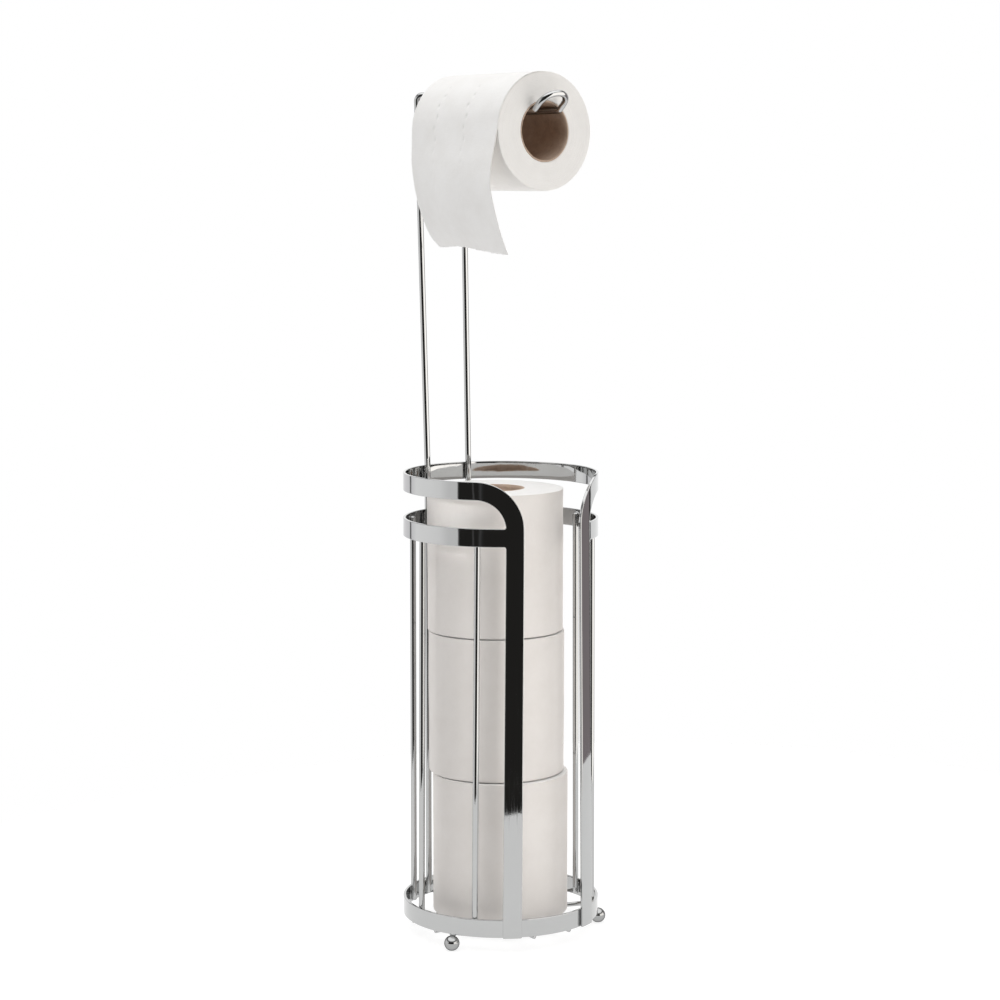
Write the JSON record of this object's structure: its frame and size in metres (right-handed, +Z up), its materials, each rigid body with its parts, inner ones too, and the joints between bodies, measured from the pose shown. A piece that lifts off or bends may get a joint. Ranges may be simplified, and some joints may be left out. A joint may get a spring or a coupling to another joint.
{
  "type": "toilet roll stand",
  "caption": "Free-standing chromed wire and strip stand: a round cage holds spare toilet rolls, and a tall hairpin mast carries the roll in use on an arm with an upturned tip.",
  "frame": {"origin": "on the floor, at the middle of the stand's footprint", "axes": "+Z up along the mast, -Y towards the open side of the cage and the tip of the arm, +X to the right seen from above with -Y down"},
  "size_m": [0.142, 0.1476, 0.6139],
  "materials": {
    "chrome_strip": "bright chrome plate on flat steel strip",
    "chrome_wire": "bright chrome plate on drawn steel wire",
    "chrome_ball": "bright chrome plate on steel balls",
    "roll_paper": "soft wound tissue, matt white",
    "sheet_paper": "single tissue sheet, embossed dots along two lines",
    "core_cardboard": "matt brown cardboard tube"
  },
  "bodies": {
    "stand": {"hoop_and_posts": "chrome_strip", "middle_hoop": "chrome_strip", "base_hoop": "chrome_strip", "cage_rod_left_1": "chrome_wire", "cage_rod_left_2": "chrome_wire", "cage_rod_left_3": "chrome_wire", "cage_rod_right_1": "chrome_wire", "cage_rod_right_2": "chrome_wire", "cage_rod_right_3": "chrome_wire", "floor_wire_cross_rear": "chrome_wire", "floor_wire_cross_front": "chrome_wire", "floor_wire_long_left": "chrome_wire", "floor_wire_long_right": "chrome_wire", "ball_foot_left": "chrome_ball", "ball_foot_right": "chrome_ball", "ball_foot_rear": "chrome_ball", "mast_wire": "chrome_wire", "supply_sheet": "sheet_paper"},
    "supply": {"supply_roll": "roll_paper", "supply_core": "core_cardboard"},
    "spare_bottom": {"spare_roll_bottom": "roll_paper", "spare_core_bottom": "core_cardboard"},
    "spare_middle": {"spare_roll_middle": "roll_paper", "spare_core_middle": "core_cardboard"},
    "spare_top": {"spare_roll_top": "roll_paper", "spare_core_top": "core_cardboard"}
  },
  "joints": [
    {"name": "supply_spin", "type": "hinge", "parent": "stand", "child": "supply", "pos_m": [0.00015, 0, 0.57294], "axis": [0, 1, 0], "continuous": true},
    {"name": "spare_bottom_lift", "type": "slide", "parent": "stand", "child": "spare_bottom", "axis": [0, 0, 1], "range_m": [0, 0.02]},
    {"name": "spare_middle_lift", "type": "slide", "parent": "spare_bottom", "child": "spare_middle", "axis": [0, 0, 1], "range_m": [0, 0.02]},
    {"name": "spare_top_lift", "type": "slide", "parent": "spare_middle", "child": "spare_top", "axis": [0, 0, 1], "range_m": [0, 0.12]}
  ]
}
